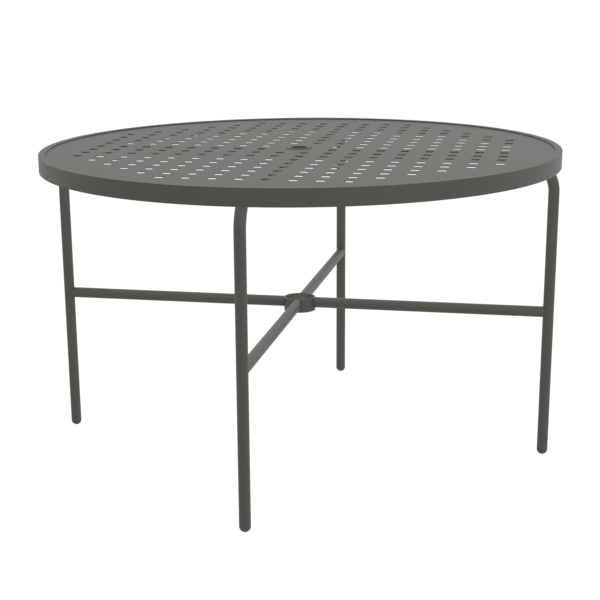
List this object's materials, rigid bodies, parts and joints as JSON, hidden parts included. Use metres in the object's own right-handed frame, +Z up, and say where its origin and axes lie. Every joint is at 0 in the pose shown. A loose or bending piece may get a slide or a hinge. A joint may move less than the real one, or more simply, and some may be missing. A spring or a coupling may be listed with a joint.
{
  "type": "umbrella table",
  "caption": "Round metal patio table with a square-punched top, a flat rolled rim, an umbrella hole, and bent tube legs braced by stretchers to a low central ring.",
  "frame": {"origin": "on the floor, under the middle of the umbrella hole", "axes": "+Z up along the umbrella pole; the legs stand on the X and Y axes, with +X through the right leg and -Y through the front leg"},
  "size_m": [1.2192, 1.2192, 0.7303],
  "materials": {
    "top_powder_coat": "satin warm dark-grey powder coat",
    "frame_powder_coat": "satin warm dark-grey powder coat",
    "glide_plastic": "moulded dark-grey nylon",
    "stainless_fixing": "bright stainless"
  },
  "bodies": {
    "root": {"sheet_top": "top_powder_coat", "rim": "top_powder_coat", "umbrella_grommet": "top_powder_coat", "upper_ring": "frame_powder_coat", "lower_ring": "frame_powder_coat", "leg_right": "frame_powder_coat", "stretcher_right": "frame_powder_coat", "glide_right": "glide_plastic", "stud_right": "stainless_fixing", "saddle_washer_right": "stainless_fixing", "cap_nut_right": "stainless_fixing", "leg_back": "frame_powder_coat", "stretcher_back": "frame_powder_coat", "glide_back": "glide_plastic", "stud_back": "stainless_fixing", "saddle_washer_back": "stainless_fixing", "cap_nut_back": "stainless_fixing", "leg_left": "frame_powder_coat", "stretcher_left": "frame_powder_coat", "glide_left": "glide_plastic", "stud_left": "stainless_fixing", "saddle_washer_left": "stainless_fixing", "cap_nut_left": "stainless_fixing", "leg_front": "frame_powder_coat", "stretcher_front": "frame_powder_coat", "glide_front": "glide_plastic", "stud_front": "stainless_fixing", "saddle_washer_front": "stainless_fixing", "cap_nut_front": "stainless_fixing"}
  },
  "joints": []
}
